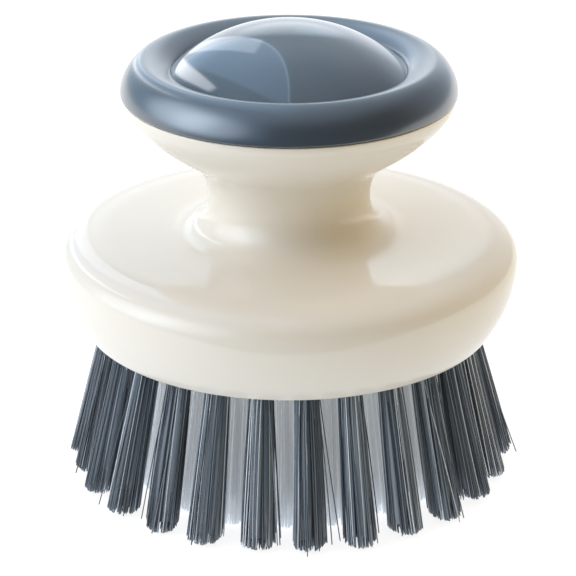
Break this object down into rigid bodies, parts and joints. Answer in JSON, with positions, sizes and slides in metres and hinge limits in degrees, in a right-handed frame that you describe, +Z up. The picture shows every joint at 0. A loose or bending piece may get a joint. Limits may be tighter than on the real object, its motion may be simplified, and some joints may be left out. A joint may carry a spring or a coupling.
{
  "type": "palm brush",
  "caption": "Round palm scrubbing brush: cream spool handle that holds soap, slate grip ring that twists off, domed press button, and leaning nylon tufts in rings.",
  "frame": {"origin": "centre of the circle on which the cut bristle ends lie, where the brush stands", "axes": "+Z up along the turning axis, towards the button; -Y faces the picture's camera"},
  "size_m": [0.085, 0.085, 0.0856],
  "materials": {
    "cream_plastic": "glossy moulded cream polypropylene",
    "slate_plastic": "glossy moulded slate-blue ABS",
    "slate_bristle": "slate-blue nylon filaments",
    "pale_bristle": "milky nylon filaments",
    "white_plastic": "natural white acetal",
    "silicone": "translucent silicone rubber",
    "spring_steel": "stainless spring wire",
    "anchor_wire": "flat brass anchor wire"
  },
  "bodies": {
    "handle": {"handle_shell": "cream_plastic", "bristle_plate": "cream_plastic", "plate_gasket": "silicone", "tuft_anchors": "anchor_wire", "outer_tuft_01": "slate_bristle", "outer_tuft_02": "slate_bristle", "outer_tuft_03": "slate_bristle", "outer_tuft_04": "slate_bristle", "outer_tuft_05": "slate_bristle", "outer_tuft_06": "slate_bristle", "outer_tuft_07": "slate_bristle", "outer_tuft_08": "slate_bristle", "outer_tuft_09": "slate_bristle", "outer_tuft_10": "slate_bristle", "outer_tuft_11": "slate_bristle", "outer_tuft_12": "slate_bristle", "outer_tuft_13": "slate_bristle", "outer_tuft_14": "slate_bristle", "outer_tuft_15": "slate_bristle", "outer_tuft_16": "slate_bristle", "outer_tuft_17": "slate_bristle", "outer_tuft_18": "slate_bristle", "outer_tuft_19": "slate_bristle", "outer_tuft_20": "slate_bristle", "outer_tuft_21": "slate_bristle", "outer_tuft_22": "slate_bristle", "outer_tuft_23": "slate_bristle", "outer_tuft_24": "slate_bristle", "outer_tuft_25": "slate_bristle", "outer_tuft_26": "slate_bristle", "second_row_tuft_01": "pale_bristle", "second_row_tuft_02": "pale_bristle", "second_row_tuft_03": "pale_bristle", "second_row_tuft_04": "pale_bristle", "second_row_tuft_05": "pale_bristle", "second_row_tuft_06": "pale_bristle", "second_row_tuft_07": "pale_bristle", "second_row_tuft_08": "pale_bristle", "second_row_tuft_09": "pale_bristle", "second_row_tuft_10": "pale_bristle", "second_row_tuft_11": "pale_bristle", "second_row_tuft_12": "pale_bristle", "second_row_tuft_13": "pale_bristle", "second_row_tuft_14": "pale_bristle", "second_row_tuft_15": "pale_bristle", "second_row_tuft_16": "pale_bristle", "second_row_tuft_17": "pale_bristle", "second_row_tuft_18": "pale_bristle", "second_row_tuft_19": "pale_bristle", "second_row_tuft_20": "pale_bristle", "inner_row_tufts": "pale_bristle"},
    "cap": {"grip_ring": "slate_plastic", "cap_core": "white_plastic", "cap_gasket": "silicone", "stem_seal": "silicone", "return_spring": "spring_steel"},
    "button": {"button_dome": "slate_plastic", "push_stem": "white_plastic", "valve_plug": "silicone"}
  },
  "joints": [
    {"name": "cap_twist", "type": "hinge", "parent": "handle", "child": "cap", "pos_m": [0, 0, 0.0731], "axis": [0, 0, 1], "range_deg": [0, 60]},
    {"name": "button_press", "type": "slide", "parent": "cap", "child": "button", "axis": [0, 0, -1], "range_m": [0, 0.0035], "stiffness_N_per_m": 800, "springref_m": -0.004, "deforming": ["return_spring"]}
  ]
}
